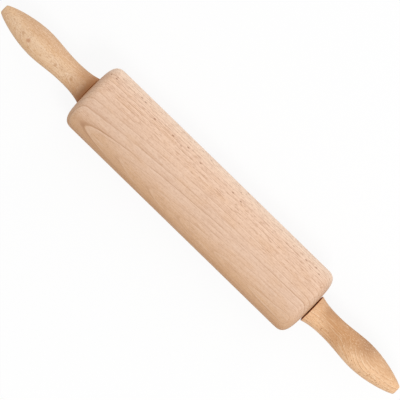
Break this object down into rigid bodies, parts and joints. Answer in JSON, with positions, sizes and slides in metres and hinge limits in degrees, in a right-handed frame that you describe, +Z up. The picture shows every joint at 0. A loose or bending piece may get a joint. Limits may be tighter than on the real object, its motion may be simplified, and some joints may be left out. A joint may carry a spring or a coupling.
{
  "type": "rolling pin",
  "caption": "Turned beech rolling pin: a rounded roller spins on a steel axle in ball bearings, between two waisted handles, to flatten dough.",
  "frame": {"origin": "middle of the pin's length, straight below its axis, on the surface that the roller lies on", "axes": "+X along the axle towards the right handle, +Y across the pin, +Z up"},
  "size_m": [0.4422, 0.063, 0.063],
  "materials": {
    "roller_beech": "fine-sanded steamed beech, bare, satin",
    "handle_beech": "fine-sanded beech, lightly oiled, satin",
    "axle_steel": "cold-drawn bright steel",
    "bearing_steel": "ground and polished bearing steel",
    "cage_nylon": "natural moulded nylon"
  },
  "bodies": {
    "spindle": {"axle_rod": "axle_steel", "left_handle": "handle_beech", "right_handle": "handle_beech"},
    "inner_rings": {"left_bearing_inner_ring": "bearing_steel", "right_bearing_inner_ring": "bearing_steel"},
    "roller": {"roller_barrel": "roller_beech", "left_bearing_outer_ring": "bearing_steel", "left_bearing_outer_shield": "bearing_steel", "left_bearing_inner_shield": "bearing_steel", "right_bearing_outer_ring": "bearing_steel", "right_bearing_outer_shield": "bearing_steel", "right_bearing_inner_shield": "bearing_steel"},
    "left_cage": {"left_bearing_cage": "cage_nylon", "left_bearing_ball_1": "bearing_steel", "left_bearing_ball_2": "bearing_steel", "left_bearing_ball_3": "bearing_steel", "left_bearing_ball_4": "bearing_steel", "left_bearing_ball_5": "bearing_steel", "left_bearing_ball_6": "bearing_steel", "left_bearing_ball_7": "bearing_steel"},
    "right_cage": {"right_bearing_cage": "cage_nylon", "right_bearing_ball_1": "bearing_steel", "right_bearing_ball_2": "bearing_steel", "right_bearing_ball_3": "bearing_steel", "right_bearing_ball_4": "bearing_steel", "right_bearing_ball_5": "bearing_steel", "right_bearing_ball_6": "bearing_steel", "right_bearing_ball_7": "bearing_steel"}
  },
  "joints": [
    {"name": "roller_play", "type": "slide", "parent": "spindle", "child": "inner_rings", "axis": [1, 0, 0], "range_m": [0, 0.0009]},
    {"name": "roller_spin", "type": "hinge", "parent": "inner_rings", "child": "roller", "pos_m": [-0.00045, 0, 0.0315], "axis": [1, 0, 0], "continuous": true},
    {"name": "left_cage_spin", "type": "hinge", "parent": "inner_rings", "child": "left_cage", "pos_m": [-0.12143, 0, 0.0315], "axis": [1, 0, 0], "continuous": true},
    {"name": "right_cage_spin", "type": "hinge", "parent": "inner_rings", "child": "right_cage", "pos_m": [0.12053, 0, 0.0315], "axis": [1, 0, 0], "continuous": true}
  ],
  "couplings": [
    {"joint": "left_cage_spin", "follows": "roller_spin", "ratio": 0.63231},
    {"joint": "right_cage_spin", "follows": "roller_spin", "ratio": 0.63231}
  ]
}
